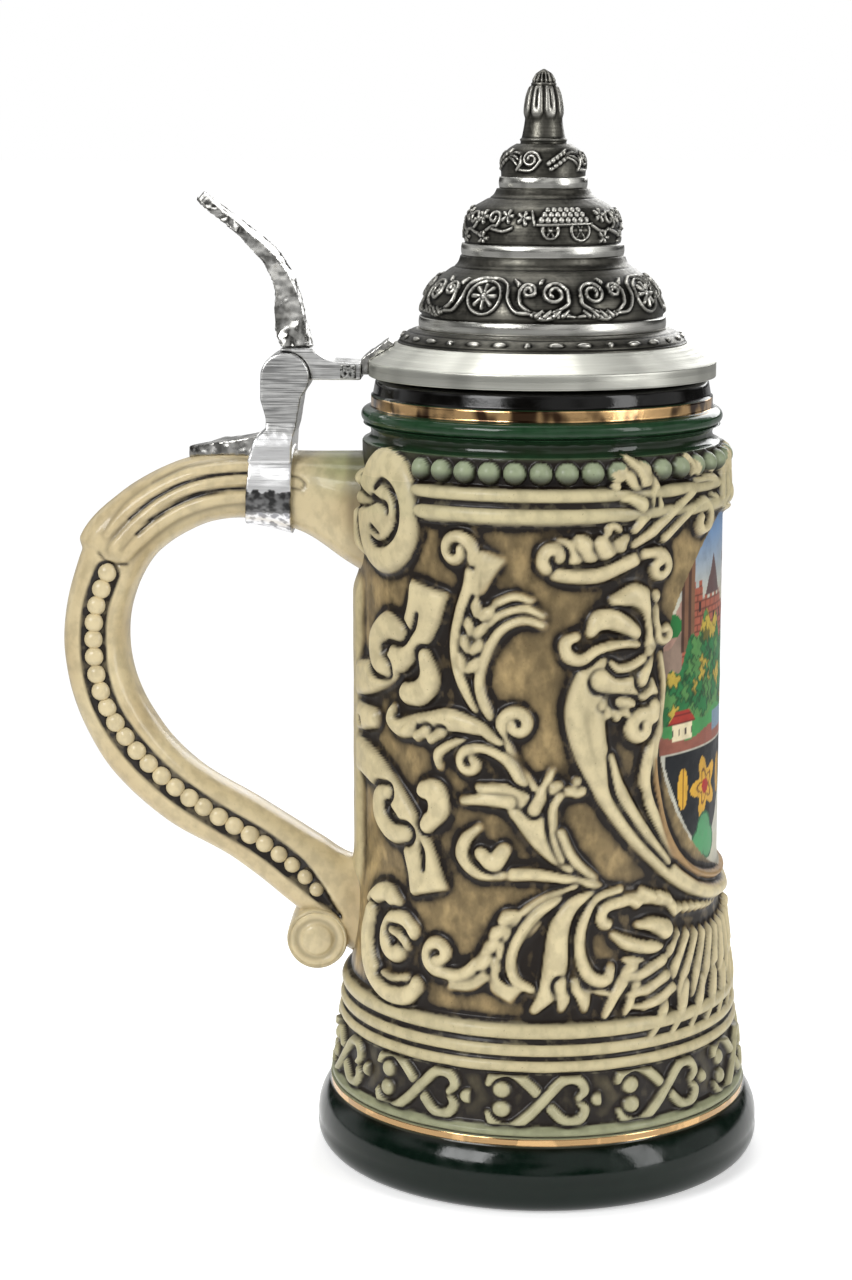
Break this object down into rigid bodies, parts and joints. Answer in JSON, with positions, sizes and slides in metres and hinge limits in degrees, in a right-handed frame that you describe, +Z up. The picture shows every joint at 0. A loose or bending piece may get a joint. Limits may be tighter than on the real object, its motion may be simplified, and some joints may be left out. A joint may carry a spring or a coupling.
{
  "type": "lidded beer stein",
  "caption": "Half-litre relief stoneware drinking stein with a scrolled side handle and a hinged, tiered pewter lid opened by a thumblift.",
  "frame": {"origin": "centre of the foot's resting face, on the stein's axis", "axes": "+Z up the stein's axis, +X towards the front panel, opposite the handle, which stands towards -X; +Y is the far side when the handle is on the left"},
  "size_m": [0.1557, 0.0996, 0.2402],
  "materials": {
    "stoneware": "gloss",
    "pewter": "satin"
  },
  "bodies": {
    "vessel": {"stein_body": "stoneware", "handle": "stoneware", "handle_band": "pewter", "handle_tang": "pewter", "hinge_post": "pewter", "hinge_pin": "pewter"},
    "lid": {"lid_arm": "pewter", "arm_rosette_near": "pewter", "arm_rosette_far": "pewter", "arm_tail": "pewter", "thumblift": "pewter", "lid_rim": "pewter", "lid_flange": "pewter", "lid_border": "pewter", "lid_lower_tier": "pewter", "lid_middle_tier": "pewter", "lid_upper_tier": "pewter", "finial": "pewter"}
  },
  "joints": [
    {"name": "lid_hinge", "type": "hinge", "parent": "vessel", "child": "lid", "pos_m": [-0.0557, 0, 0.1745], "axis": [0, -1, 0], "range_deg": [0, 95]}
  ]
}
